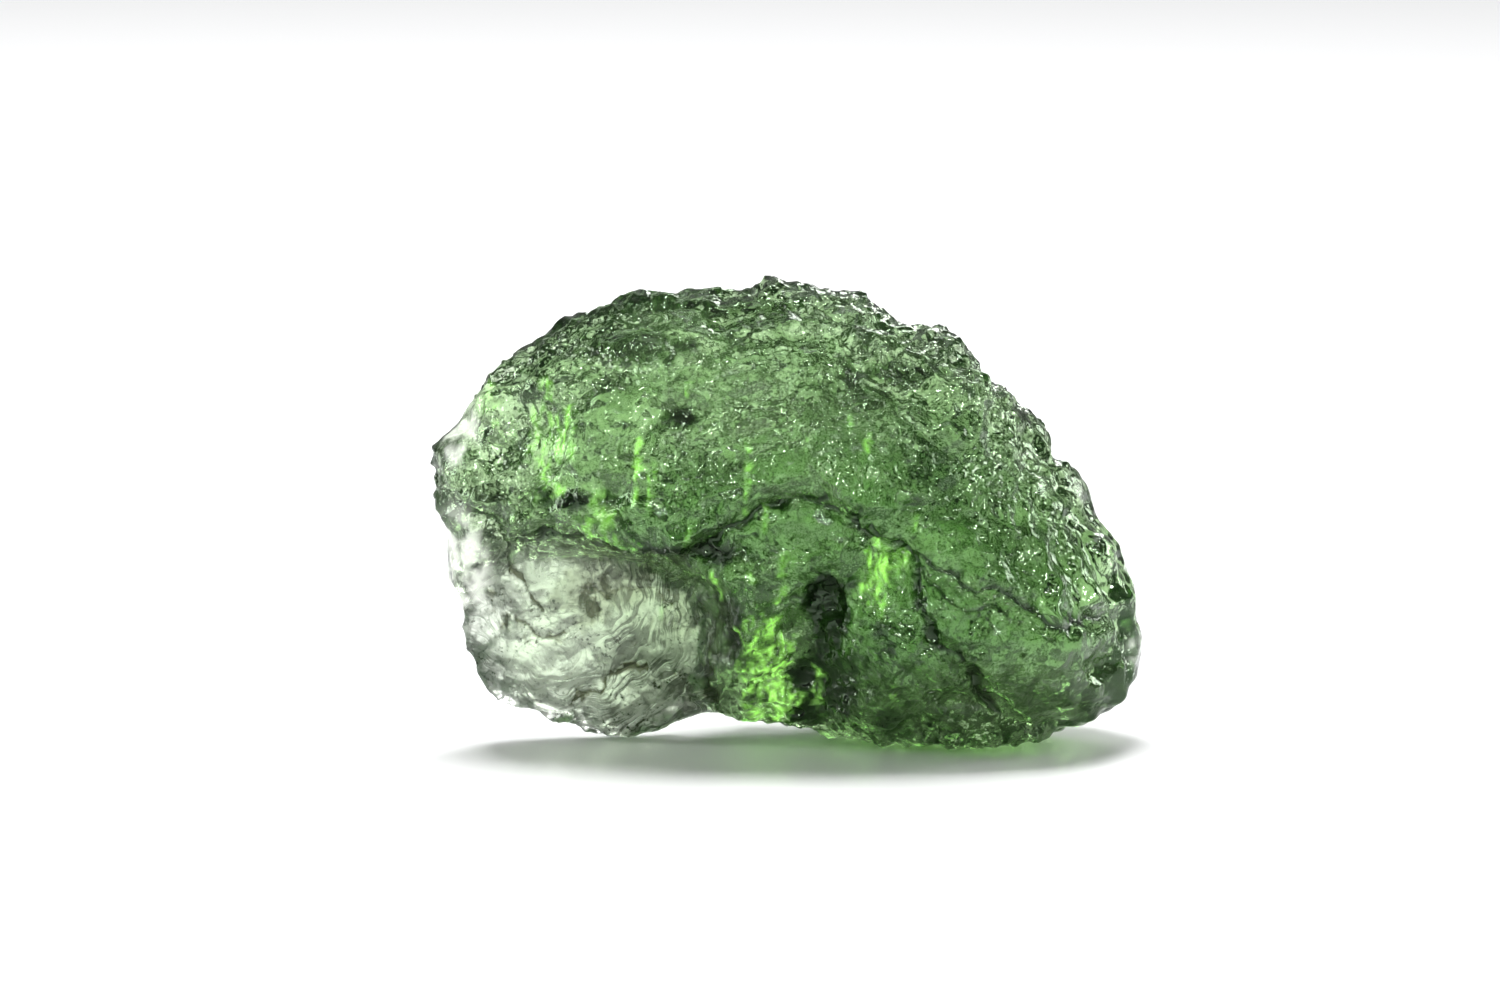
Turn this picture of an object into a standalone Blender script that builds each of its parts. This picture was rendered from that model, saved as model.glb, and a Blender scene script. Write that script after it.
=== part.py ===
"""A rough moldavite: one solid piece of green impact glass that stands on its lower edge.

Run it with blender --background --python part.py. Shapes are worked out in millimetres and the
mesh is made in metres, +Z up. The broad face looks along -Y, and the origin is on the table under
the middle of the stone.

The stone is a ball pulled out to a drawn outline and drawn depths, then dented: a thinned lobe at
the lower left, an arch between two feet, folds across both faces, and etched pits and flutes.
"""

import math

import bmesh
import bpy
import numpy as np
from mathutils import Vector, noise

MM = 0.001

# Overall size
WIDTH = 18.0
DEPTH = 8.6
HEIGHT = 11.8

# Mesh
BALL_SUBDIVISIONS = 7
TRIANGLES = 9000

# The broad face's outline as (x, z), down the left side, along the bottom and back over the top.
# The table is at z = 0, and what dips below it is cut away to make the flat feet.
OUTLINE = (
    (-7.7, 9.1), (-8.7, 7.8), (-9.1, 7.3), (-9.0, 6.0), (-8.8, 5.1), (-8.8, 4.0), (-8.5, 3.0),
    (-8.3, 2.0), (-7.8, 1.3), (-7.2, 0.7), (-6.1, 0.2), (-5.0, -0.2), (-4.3, -0.3), (-3.7, 0.0),
    (-2.9, 0.3), (-1.8, 0.5), (-0.5, 0.2), (0.7, 0.2), (2.0, -0.3), (3.4, -0.8), (4.7, -1.0),
    (5.6, -1.0), (6.2, -0.6), (6.7, 0.0), (7.4, 0.2), (8.5, 0.7), (9.1, 1.1), (9.3, 2.1),
    (9.1, 3.1), (8.7, 4.4), (8.6, 4.8), (8.1, 5.2), (7.7, 6.0), (7.2, 6.9), (6.9, 7.0), (6.9, 7.7),
    (6.6, 8.2), (5.8, 8.8), (5.1, 9.1), (4.4, 10.1), (3.3, 10.2), (2.4, 10.8), (1.9, 11.1),
    (0.8, 11.3), (-0.3, 11.5), (-1.1, 11.2), (-2.2, 11.3), (-3.1, 11.4), (-3.9, 11.3),
    (-5.0, 10.8), (-6.1, 10.2), (-6.7, 9.7), (-7.3, 9.4),
)
OUTLINE_CENTRE = (0.2, 5.0)
OUTLINE_STEPS = 720  # directions round the centre in which the outline is measured
OUTLINE_BLUR = 61  # of those steps: lumps of the outline shorter than this stay near the rim
RIM_FADE = 12.0  # how soon those lumps die away from the rim
RIM_SWAY = 0.4  # how far the rim wanders from a flat plane
SWAY_FADE = 4.0  # how soon that wandering dies away from the rim

# How full the edge is between the outline and the faces: 1 is an ellipse and less is blunter
EDGE_FULLNESS = 0.72
FACE_FULLNESS = 0.76

# Swellings of the front and back faces as (x, z, half width, half height, thickness)
FRONT_BASE = 2.4
FRONT_SWELLS = (
    (1.2, 5.2, 5.5, 4.2, 1.4),
    (4.2, 2.4, 3.2, 2.6, 1.1),
    (7.2, 3.4, 1.8, 2.6, 0.7),
    (-4.6, 7.4, 2.8, 1.9, 0.5),
)
BACK_BASE = 2.3
BACK_SWELLS = (
    (0.6, 4.6, 5.0, 3.8, 1.5),
    (3.2, 1.4, 4.2, 1.6, 1.0),
    (7.0, 3.4, 2.2, 2.8, 1.4),
    (-4.0, 8.2, 2.4, 1.8, 0.6),
    (2.6, 9.0, 1.8, 1.6, -0.4),
)

# The thin lobe at the lower left, under a ledge: its middle, half sizes, and the share of depth left
LOBE_CENTRE = (-5.1, 1.9)
LOBE_HALF = (4.1, 3.6)
LOBE_SQUARENESS = 2.6  # 2 is an ellipse and more is squarer
LOBE_FRONT_SHARE = 0.48
LOBE_BACK_SHARE = 0.5
LEDGE_WIDTH = 0.28  # of the lobe's half size

# Hollows of each face as (x, z, half width, half height, depth)
FRONT_HOLLOWS = (
    (0.4, 2.5, 1.1, 2.0, 1.0),
    (0.9, 3.9, 0.5, 0.65, 0.6),
    (-6.4, 7.4, 1.0, 0.9, 0.5),
    (-2.6, 8.6, 0.45, 0.35, 0.3),
    (-0.2, 5.5, 1.3, 0.55, 0.3),
    (2.6, 4.6, 0.8, 1.0, 0.4),
    (5.2, 7.7, 0.8, 0.7, 0.3),
    (-1.6, 7.6, 1.5, 0.9, 0.2),
    (6.3, 4.3, 0.9, 1.3, 0.25),
    (-4.4, 6.4, 0.7, 0.8, 0.2),
)
BACK_HOLLOWS = (
    (-3.2, 6.0, 1.6, 1.0, 0.5),
    (3.4, 6.6, 1.2, 1.5, 0.55),
    (0.4, 1.8, 1.2, 0.9, 0.5),
    (-0.6, 9.2, 1.4, 0.7, 0.3),
    (6.2, 3.2, 0.8, 1.1, 0.35),
)

# Folds of each face: half width, depth, how much higher the left side stands, and the line they
# follow as (x, z), with left as seen from the front going along the line
FRONT_FOLDS = (
    (0.34, 0.28, 0.26, ((1.9, 6.4), (2.8, 5.3), (3.3, 3.6), (4.3, 2.7), (4.8, 1.6), (5.4, 1.2))),
    (0.28, 0.14, 0.08, ((2.9, 5.2), (4.6, 4.7), (5.8, 4.4), (6.7, 3.7), (7.9, 3.5))),
    (0.32, 0.26, 0.22, ((-1.9, 5.6), (-1.0, 6.3), (0.3, 6.8), (1.5, 6.6))),
    (0.34, 0.22, 0.24, ((-7.9, 5.9), (-7.0, 5.2), (-5.7, 5.5), (-4.7, 5.2), (-3.3, 5.0), (-1.8, 5.3))),
    (0.30, -0.06, -0.22, ((-7.2, 9.1), (-5.7, 9.9), (-3.2, 10.3), (-0.7, 10.6), (2.7, 10.5), (5.0, 9.1))),
    (0.32, -0.10, -0.30, ((5.0, 9.1), (5.3, 7.7), (6.6, 5.7), (7.2, 3.9), (8.3, 2.8), (8.6, 1.8))),
    (0.28, 0.16, 0.14, ((-2.2, 5.0), (-1.8, 3.9), (-1.9, 2.6), (-2.5, 1.0))),
    (0.26, 0.22, 0.06, ((-7.4, 5.3), (-7.0, 4.6), (-6.4, 3.2))),
    (0.24, 0.16, 0.08, ((-7.2, 2.9), (-6.5, 2.6), (-5.6, 2.5), (-5.2, 1.4))),
    (0.24, 0.14, 0.08, ((-5.6, 0.8), (-5.0, 1.3), (-3.6, 2.1))),
    (0.24, 0.12, 0.06, ((-5.7, 3.3), (-4.7, 3.7), (-3.7, 3.8), (-3.0, 3.5))),
)
BACK_FOLDS = (
    (0.34, 0.30, 0.22, ((-6.8, 7.6), (-4.2, 8.2), (-1.6, 7.4), (0.8, 7.9), (3.2, 9.2))),
    (0.30, 0.24, 0.20, ((-1.8, 5.6), (-0.4, 4.2), (1.8, 3.9), (2.6, 2.2), (4.4, 1.4))),
    (0.30, 0.18, 0.16, ((5.0, 8.2), (5.4, 6.2), (6.8, 4.6), (7.2, 2.4))),
    (0.34, 0.22, 0.22, ((-7.8, 5.6), (-5.6, 5.2), (-3.4, 5.0), (-2.0, 4.4))),
)
STEP_REACH = 4.0  # half widths over which a fold's higher side falls away
STEP_SHARPNESS = 2.0
FACE_EDGE = (0.15, 0.6)  # how squarely a point faces front or back for the relief to fade in

# Ripples on the thin lobe, arcs round a point above it
RIPPLE_CENTRE = (-6.8, 4.4)
RIPPLE_PITCH = 0.8
RIPPLE_HEIGHT = 0.04
RIPPLE_WANDER = 0.6

# Etched pits and flutes scattered over the surface
SEED = 14
PITS = 300
PIT_RADIUS = (0.34, 0.85)
PIT_DEPTH_SHARE = 0.36
PIT_ROUNDNESS = 1.2
FLUTE_STRETCH = (1.0, 2.6)
FRONT_PIT_SHARE = 0.35  # how many pits the front gets, against the rim and back
FACE_CALM = 0.25  # share of a pit's depth that is left on the middle of the front face
RIM_CALM = 0.55  # and on the rim, whose lumps are in the outline
FRONT_ZONE = (0.2, 0.9)  # how squarely a point faces front to count as front
MIDDLE_ZONE = (0.75, 0.95)  # and as the middle of the front
RIM_ZONE = (0.1, 0.5)  # how squarely it faces front or back to stop counting as rim

# Slow unevenness of the whole surface, and how far it bends the folds
SWELL_LENGTH = 2.4
SWELL_HEIGHT = 0.26
SWELL_FALLOFF = 0.9
SWELL_STEP = 2.1
SWELL_OCTAVES = 3
FOLD_WANDER = 0.5

GLASS_COLOUR = (0.16, 0.33, 0.11, 1.0)
GLASS_ROUGHNESS = 0.3
GLASS_IOR = 1.49
GLASS_TRANSMISSION = 0.8


def smooth_step(low, high, value):
    """0 below low, 1 above high, and a smooth climb between them."""
    t = np.clip((value - low) / (high - low), 0.0, 1.0)
    return t * t * (3.0 - 2.0 * t)


def clear_scene():
    for obj in list(bpy.data.objects):
        bpy.data.objects.remove(obj)


def new_collection(name):
    collection = bpy.data.collections.new(name)
    bpy.context.scene.collection.children.link(collection)
    return collection


def glass_material():
    material = bpy.data.materials.new("moldavite_glass")
    material.use_nodes = True
    shader = material.node_tree.nodes["Principled BSDF"]
    shader.inputs["Base Color"].default_value = GLASS_COLOUR
    shader.inputs["Roughness"].default_value = GLASS_ROUGHNESS
    shader.inputs["Metallic"].default_value = 0.0
    shader.inputs["IOR"].default_value = GLASS_IOR
    shader.inputs["Transmission Weight"].default_value = GLASS_TRANSMISSION
    return material


def closed_curve(points, steps=24):
    """Points along a closed Catmull-Rom curve through the given ones."""
    knots = np.array(points, float)
    t = np.linspace(0.0, 1.0, steps, endpoint=False)[:, None]
    spans = []
    for i in range(len(knots)):
        a, b, c, d = (knots[(i + k) % len(knots)] for k in (-1, 0, 1, 2))
        spans.append(
            0.5 * (2 * b + (c - a) * t + (2 * a - 5 * b + 4 * c - d) * t**2
                   + (3 * b - a - 3 * c + d) * t**3)
        )
    return np.concatenate(spans)


def outline_radii(angle):
    """The outline's distance from its centre in each direction, blurred, and the lumps left out."""
    offsets = closed_curve(OUTLINE) - np.array(OUTLINE_CENTRE)
    angles = np.arctan2(offsets[:, 1], offsets[:, 0])
    order = np.argsort(angles)
    radii = np.hypot(offsets[:, 0], offsets[:, 1])
    turn = np.linspace(-math.pi, math.pi, OUTLINE_STEPS, endpoint=False)
    drawn = np.interp(turn, angles[order], radii[order], period=2 * math.pi)
    window = np.hanning(OUTLINE_BLUR)
    half = OUTLINE_BLUR // 2
    wrapped = np.concatenate((drawn[-half:], drawn, drawn[:half]))
    blurred = np.convolve(wrapped, window / window.sum(), "valid")
    radius = np.interp(angle, turn, blurred, period=2 * math.pi)
    lumps = np.interp(angle, turn, drawn - blurred, period=2 * math.pi)
    return radius, lumps


def swells(base, table, x, z):
    """A face's depth at (x, z): its base and the swellings of the table."""
    depth = np.full_like(x, base)
    for mid_x, mid_z, half_width, half_height, height in table:
        reach = ((x - mid_x) / half_width) ** 2 + ((z - mid_z) / half_height) ** 2
        depth += height * np.exp(-reach)
    return depth


def lobe_share(x, z):
    """1 on the thin lobe, falling to 0 across its ledge."""
    u = np.abs((x - LOBE_CENTRE[0]) / LOBE_HALF[0])
    v = np.abs((z - LOBE_CENTRE[1]) / LOBE_HALF[1])
    reach = (u**LOBE_SQUARENESS + v**LOBE_SQUARENESS) ** (1 / LOBE_SQUARENESS)
    return 1.0 - smooth_step(1.0 - LEDGE_WIDTH, 1.0, reach)


def blank_points(ball):
    """The points of a unit ball moved onto the stone's drawn form."""
    round_share = np.hypot(ball[:, 0], ball[:, 2])
    angle = np.arctan2(ball[:, 2], ball[:, 0])
    radius, lumps = outline_radii(angle)
    reach = (radius + lumps * round_share**RIM_FADE) * round_share**EDGE_FULLNESS
    x = OUTLINE_CENTRE[0] + reach * np.cos(angle)
    z = OUTLINE_CENTRE[1] + reach * np.sin(angle)
    lobe = lobe_share(x, z)
    front = swells(FRONT_BASE, FRONT_SWELLS, x, z) * (1 - (1 - LOBE_FRONT_SHARE) * lobe)
    back = swells(BACK_BASE, BACK_SWELLS, x, z) * (1 - (1 - LOBE_BACK_SHARE) * lobe)
    side = np.sign(ball[:, 1]) * np.abs(ball[:, 1]) ** FACE_FULLNESS
    y = np.where(side < 0, side * front, side * back)
    y += RIM_SWAY * round_share**SWAY_FADE * np.sin(2 * angle + 0.6) * np.cos(3 * angle)
    return np.column_stack((x, y, z))


def side_of_line(x, z, line):
    """Each point's distance to a line of straight runs on the face, less than 0 on its right."""
    nearest = np.full_like(x, np.inf)
    side = np.ones_like(x)
    points = np.column_stack((x, z))
    for start, end in zip(line, line[1:]):
        start, run = np.array(start), np.subtract(end, start)
        offset = points - start
        t = np.clip(offset @ run / (run @ run), 0.0, 1.0)
        gap = offset - t[:, None] * run
        distance = np.hypot(gap[:, 0], gap[:, 1])
        nearer = distance < nearest
        nearest[nearer] = distance[nearer]
        side[nearer] = np.sign(run[0] * offset[:, 1] - run[1] * offset[:, 0])[nearer]
    return nearest * side


def face_relief(points, normals, wander, side, hollows, folds):
    """Height of the drawn hollows and folds of the front face (side -1) or the back (side 1)."""
    x, z = points[:, 0], points[:, 2]
    height = np.zeros(len(points))
    for mid_x, mid_z, half_width, half_height, depth in hollows:
        reach = ((x - mid_x) / half_width) ** 2 + ((z - mid_z) / half_height) ** 2
        height -= depth * np.exp(-reach)
    for half_width, depth, step, line in folds:
        shift = FOLD_WANDER * wander
        reach = side_of_line(x + shift, z + shift, line) / half_width
        height -= depth * np.exp(-(reach**2))
        height += step * np.tanh(STEP_SHARPNESS * reach) * np.exp(-np.abs(reach) / STEP_REACH)
    return height * smooth_step(*FACE_EDGE, side * normals[:, 1])


def lobe_ripples(points, normals, wander):
    """Height of the curved ripples on the thin lobe's front."""
    x, z = points[:, 0], points[:, 2]
    ring = np.hypot(x - RIPPLE_CENTRE[0], z - RIPPLE_CENTRE[1]) + RIPPLE_WANDER * wander
    wave = 2 * np.abs(np.sin(math.pi * ring / RIPPLE_PITCH)) - 1
    return RIPPLE_HEIGHT * wave * lobe_share(x, z) * smooth_step(*FACE_EDGE, -normals[:, 1])


def etching(points, normals, rng):
    """Depth of the etched pits and flutes, which meet in sharp ridges."""
    facing = normals[:, 1]
    chance = 1 - (1 - FRONT_PIT_SHARE) * smooth_step(*FRONT_ZONE, -facing)
    middles = rng.choice(len(points), PITS, replace=False, p=chance / chance.sum())
    depth = np.zeros(len(points))
    for middle in middles:
        radius = rng.uniform(*PIT_RADIUS)
        length = radius * rng.uniform(*FLUTE_STRETCH)
        across = np.cross(normals[middle], rng.normal(size=3))
        across /= np.linalg.norm(across)
        offset = points - points[middle]
        along_share = (offset @ np.cross(normals[middle], across)) / length
        across_share = (offset @ across) / radius
        sunk_share = (offset @ normals[middle]) / radius
        reach = along_share**2 + across_share**2 + sunk_share**2
        cup = np.clip(1.0 - reach, 0.0, None) ** PIT_ROUNDNESS
        depth = np.maximum(depth, PIT_DEPTH_SHARE * radius * cup)
    depth *= 1 - (1 - FACE_CALM) * smooth_step(*MIDDLE_ZONE, -facing)
    return depth * (RIM_CALM + (1 - RIM_CALM) * smooth_step(*RIM_ZONE, np.abs(facing)))


def unevenness(points):
    """Slow swells in every direction."""
    return np.array(
        [
            noise.fractal(Vector(point / SWELL_LENGTH), SWELL_FALLOFF, SWELL_STEP, SWELL_OCTAVES)
            for point in points
        ]
    )


def read_points(mesh, what="co"):
    source = mesh.vertices if what == "co" else mesh.vertex_normals
    values = np.empty(len(mesh.vertices) * 3)
    source.foreach_get(what, values)
    return values.reshape(-1, 3)


def write_points(mesh, points):
    mesh.vertices.foreach_set("co", points.ravel())
    mesh.update()


def ball_mesh():
    mesh = bpy.data.meshes.new("moldavite")
    shape = bmesh.new()
    bmesh.ops.create_icosphere(shape, subdivisions=BALL_SUBDIVISIONS, radius=1.0)
    shape.to_mesh(mesh)
    shape.free()
    return mesh


def carve(mesh):
    """Turns the ball into the stone, in millimetres."""
    write_points(mesh, blank_points(read_points(mesh)))
    points, normals = read_points(mesh), read_points(mesh, "vector")
    swell = unevenness(points)
    height = SWELL_HEIGHT * swell
    height += face_relief(points, normals, swell, -1, FRONT_HOLLOWS, FRONT_FOLDS)
    height += face_relief(points, normals, swell, 1, BACK_HOLLOWS, BACK_FOLDS)
    height += lobe_ripples(points, normals, swell)
    height -= etching(points, normals, np.random.default_rng(SEED))
    write_points(mesh, points + normals * height[:, None])


def thinned(obj):
    """A copy of the object's mesh with about the number of triangles wanted."""
    thin = obj.modifiers.new("fewer_triangles", "DECIMATE")
    thin.ratio = TRIANGLES / len(obj.data.polygons)
    graph = bpy.context.evaluated_depsgraph_get()
    mesh = bpy.data.meshes.new_from_object(obj.evaluated_get(graph))
    obj.modifiers.clear()
    return mesh


def fit_to_size(mesh):
    """Scales the stone to its overall size, in metres, and leaves the table at z = 0."""
    points = read_points(mesh)
    low, high = points.min(axis=0), points.max(axis=0)
    middle = np.append((low + high)[:2] / 2, 0.0)
    drawn_size = np.append((high - low)[:2], high[2])
    write_points(mesh, (points - middle) * (WIDTH, DEPTH, HEIGHT) / drawn_size * MM)


def table_cutter(collection):
    """A block whose top is the table's surface."""
    side = 2 * WIDTH * MM
    bpy.ops.mesh.primitive_cube_add(size=1.0, location=(0, 0, -side / 2))
    cutter = bpy.context.object
    cutter.name = "table_block"
    cutter.scale = (side, side, side)
    cutter.hide_render = True
    cutter.display_type = "WIRE"
    for owner in list(cutter.users_collection):
        owner.objects.unlink(cutter)
    collection.objects.link(cutter)
    return cutter


def moldavite(collection, cutters):
    stone = bpy.data.objects.new("moldavite", ball_mesh())
    collection.objects.link(stone)
    carve(stone.data)
    stone.data = thinned(stone)
    fit_to_size(stone.data)
    stone.data.materials.append(glass_material())
    stone.data.shade_smooth()
    feet = stone.modifiers.new("flat_feet", "BOOLEAN")
    feet.operation = "DIFFERENCE"
    feet.solver = "EXACT"
    feet.use_self = True
    feet.object = table_cutter(cutters)
    return stone


def main():
    clear_scene()
    moldavite(new_collection("moldavite_stone"), new_collection("cutters"))


if __name__ == "__main__":
    main()
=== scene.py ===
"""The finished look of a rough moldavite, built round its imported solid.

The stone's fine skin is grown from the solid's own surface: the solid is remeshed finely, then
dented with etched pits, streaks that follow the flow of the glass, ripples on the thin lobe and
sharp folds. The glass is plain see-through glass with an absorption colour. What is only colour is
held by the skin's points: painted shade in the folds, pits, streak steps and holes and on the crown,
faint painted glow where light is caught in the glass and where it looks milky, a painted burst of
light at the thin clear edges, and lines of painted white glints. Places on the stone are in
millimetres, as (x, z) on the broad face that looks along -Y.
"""

import math

import bpy
import numpy as np
from bpy.props import FloatProperty, FloatVectorProperty, IntProperty, PointerProperty
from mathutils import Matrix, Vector, noise


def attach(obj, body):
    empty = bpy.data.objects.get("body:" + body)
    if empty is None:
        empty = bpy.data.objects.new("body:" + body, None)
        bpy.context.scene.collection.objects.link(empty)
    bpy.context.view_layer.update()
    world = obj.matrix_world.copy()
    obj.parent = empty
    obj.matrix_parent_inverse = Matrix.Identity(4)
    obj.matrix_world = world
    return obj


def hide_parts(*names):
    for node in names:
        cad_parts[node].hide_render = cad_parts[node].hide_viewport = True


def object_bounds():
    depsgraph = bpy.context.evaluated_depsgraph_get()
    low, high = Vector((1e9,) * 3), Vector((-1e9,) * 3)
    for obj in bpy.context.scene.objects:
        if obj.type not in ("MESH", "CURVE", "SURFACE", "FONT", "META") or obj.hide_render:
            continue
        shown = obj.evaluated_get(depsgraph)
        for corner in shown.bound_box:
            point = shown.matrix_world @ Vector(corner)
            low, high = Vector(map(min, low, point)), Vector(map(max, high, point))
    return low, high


bl_info = {
    "name": "Moldavite",
    "version": (1, 0, 0),
    "blender": (4, 5, 0),
    "location": "3D View > Sidebar > Moldavite",
    "description": "Builds a rough moldavite and the white table it stands on",
    "category": "Add Mesh",
}

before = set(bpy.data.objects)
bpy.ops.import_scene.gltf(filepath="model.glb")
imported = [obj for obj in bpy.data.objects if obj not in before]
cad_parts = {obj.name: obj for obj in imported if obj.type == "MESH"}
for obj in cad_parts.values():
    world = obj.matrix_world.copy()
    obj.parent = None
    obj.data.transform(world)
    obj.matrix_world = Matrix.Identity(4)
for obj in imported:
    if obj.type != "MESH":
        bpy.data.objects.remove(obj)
cad_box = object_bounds()

MM = 0.001
SEED = 7

# The photograph's framing, in its pixels: its size, the stone's middle, the table line under the
# stone and the stone's length
PHOTO_SIZE = (1500, 1000)
STONE_MIDDLE = 789
TABLE_LINE = 741
STONE_SPAN = 718

CAMERA_RISE = math.radians(8)
SENSOR = 36.0
LENS = 200.0
NEAREST_SEEN = 0.01

# Soft lights: name, place, size and brightness
TOP_LIGHT = ("top_light", (-0.02, 0.10, 0.30), (0.15, 0.15), 21.0)
SIDE_LIGHTS = (
    ("flash_light", (0.035, 0.10, 0.085), (0.03, 0.05), 12.0),
    ("left_light", (-0.13, 0.0, 0.04), (0.03, 0.08), 12.0),
    ("right_light", (0.11, 0.04, 0.05), (0.03, 0.05), 12.0),
)

# Small bright lights that show only as glints: their size, their brightness and where they stand
GLINT_SIZE = (0.009, 0.009)
GLINT_BRIGHTNESS = 250.0
GLINT_PLACES = (
    (0.02, -0.03, 0.16),
    (0.05, -0.14, 0.08),
    (-0.08, -0.12, 0.08),
    (0.12, -0.06, 0.06),
    (-0.03, -0.10, 0.13),
    (0.09, -0.11, 0.11),
    (0.00, -0.16, 0.05),
)

# How bright the white room is on the camera's side and behind the stone
ROOM_NEAR = 0.12
ROOM_FAR = 0.35

# How often light may turn inside the glass, and how often it may be mirrored
LIGHT_BOUNCES = 24
MIRROR_BOUNCES = 12

TABLE_DROP = 0.01 * MM  # keeps the table just under the stone's feet
TABLE_ROUGHNESS = 0.35
TABLE_IOR = 1.35

# The thin lobe at the lower left: its middle, half sizes, the width of its edge and how square it is
LOBE_MIDDLE = (-5.1, 1.9)
LOBE_HALF = (4.1, 3.6)
LOBE_EDGE = 0.28
LOBE_SQUARENESS = 2.6

# The points that the lobe's ripples and its fine arcs run round, and their gaps
RIPPLE_MIDDLE = (-6.8, 5.2)
RIPPLE_GAP = 0.6
ARC_MIDDLE = (-6.2, 4.2)
ARC_GAP = 1 / 3.6

# Heights of the relief and depths of what is cut into it
RIDGE_HEIGHT = 0.06
FLOW_HEIGHT = 0.03
GRAIN_HEIGHT = 0.012
LUMP_HEIGHT = 0.15
RIPPLE_HEIGHT = 0.07
STREAK_GAIN = 1.4  # times the height that each streaked zone states
PIT_GAIN = 1.2
HOLE_JAGS = 0.16
LINE_DEPTH = 0.03
CRINKLE_DEPTH = 0.05
CLEAR_CALM = 0.6  # share of the relief that the clear places lose

# Rounds of smoothing for the whole copy and for its calm places, and how calm two of those are
EVEN_ROUNDS = 4
CALM_ROUNDS = 50
HOLE_CALM = 0.8
RIGHT_CALM = 0.5

# Small pits: least and most half width, length in half widths, and depth in half widths
PIT_HALF_WIDTHS = (0.12, 0.38)
PIT_LENGTHS = (1.2, 3.6)
PIT_CUP = 0.28

# Slopes of the fine lines on the left half and the right half, and of the crinkles' second set
LEFT_SLOPE = 70
RIGHT_SLOPE = -35
STEEP_SLOPE = 75

# Sharp folds on the broad face, with shade painted into them: half width, depth, how dark that shade
# is and the line they follow
FOLDS = (
    (0.11, 0.14, 1.0, ((1.9, 6.4), (2.8, 5.3), (3.3, 3.6))),
    (0.11, 0.12, 1.0, ((3.3, 3.6), (3.6, 2.9), (4.3, 2.75), (4.45, 2.0), (4.6, 1.3), (5.0, 0.9))),
    (0.15, 0.08, 0.97, ((4.5, 2.1), (4.65, 1.4), (5.3, 0.9))),
    (0.07, 0.07, 1.0, ((2.9, 5.2), (4.6, 4.7), (5.8, 4.4), (6.7, 3.7), (7.9, 3.5))),
    (0.05, 0.05, 0.9, ((2.6, 5.0), (4.2, 4.3), (5.6, 4.0))),
    (0.095, 0.12, 1.0, ((-1.9, 5.6), (-1.0, 6.3), (0.3, 6.8), (1.5, 6.6))),
    (0.09, 0.07, 0.97, ((-0.3, 6.5), (0.6, 6.9), (1.3, 6.95))),
    (0.10, 0.12, 0.95, ((-7.9, 5.9), (-7.0, 5.2), (-5.7, 5.5), (-4.7, 5.2), (-3.3, 5.0), (-1.8, 5.3))),
    (0.06, 0.10, 0.97, ((-7.4, 5.3), (-7.0, 4.6), (-6.4, 3.2))),
    (0.045, 0.08, 0.9, ((-7.2, 2.9), (-6.5, 2.6), (-5.8, 2.5))),
    (0.05, 0.09, 0.98, ((-5.6, 0.8), (-5.0, 1.3), (-3.6, 2.1))),
    (0.04, 0.07, 0.85, ((-5.7, 3.3), (-4.7, 3.7), (-3.7, 3.8), (-3.0, 3.5))),
    (0.10, 0.06, 0.95, ((-2.2, 4.6), (-1.9, 3.6), (-1.7, 2.4), (-1.9, 1.2))),
)
FOLD_WANDER = 0.5
ECHO_GAP = 2.2  # half widths between a fold and the fine lines beside it
ECHO_REACH = 5.0  # half widths over which those lines fade

# Painted shade on the broad face, in spots, the first two of them in the hole: middle, half sizes and
# darkness
SHADE_SPOTS = (
    ((0.9, 3.6), (0.85, 1.45), 1.0),
    ((0.9, 2.4), (0.55, 1.6), 0.97),
    ((-1.4, 3.2), (0.32, 1.5), 1.0),
    ((0.9, 1.9), (0.9, 1.5), 0.9),
    ((2.4, 2.2), (2.4, 2.4), 0.48),
    ((-2.4, 5.25), (2.8, 0.55), 1.0),
    ((-5.2, 6.5), (1.4, 0.40), 1.0),
    ((-2.6, 8.6), (0.60, 0.40), 1.0),
    ((-4.1, 8.4), (0.12, 0.18), 1.0),
    ((3.9, 8.7), (0.14, 0.12), 1.0),
    ((-4.3, 10.3), (1.2, 0.45), 0.8),
    ((-0.7, 11.2), (1.6, 0.35), 0.8),
    ((2.9, 9.6), (1.0, 0.5), 0.8),
    ((3.9, 8.9), (1.8, 1.0), 0.5),
    ((6.2, 8.3), (0.8, 0.3), 0.8),
    ((6.2, 1.2), (1.8, 0.9), 0.6),
    ((6.2, 5.0), (2.6, 1.6), 0.6),
    ((-4.4, 4.2), (1.3, 1.0), 0.6),
    ((4.3, 7.6), (2.4, 2.4), 0.6),
    ((-2.6, 3.4), (0.9, 1.8), 0.5),
    ((0.3, 1.7), (0.25, 0.5), 1.0),
    ((2.5, 0.9), (0.5, 0.6), 0.8),
)
HOLE_SPOTS = SHADE_SPOTS[:2]

# Crinkled places, whose fine lines are sharp grooves with shade painted into them: middle, half sizes
# and how dark that shade is
CRINKLED_SPOTS = (
    ((2.6, 2.4), (2.6, 2.4), 0.9),
    ((5.6, 1.6), (1.6, 1.0), 0.8),
    ((-3.4, 5.2), (3.0, 0.8), 0.9),
)

# Milky places deep in the glass, where glow is painted: middle, half sizes and the light painted there
MILKY_GLOW_SPOTS = (
    ((-1.0, 9.2), (5.4, 2.4), (0.034, 0.046, 0.026)),
    ((0.2, 8.0), (2.6, 1.6), (0.030, 0.042, 0.022)),
    ((-5.7, 3.4), (2.3, 2.1), (0.165, 0.175, 0.154)),
    ((5.0, 1.8), (4.2, 1.3), (0.026, 0.040, 0.018)),
    ((-2.9, 10.3), (1.8, 0.9), (0.040, 0.055, 0.032)),
)
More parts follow.
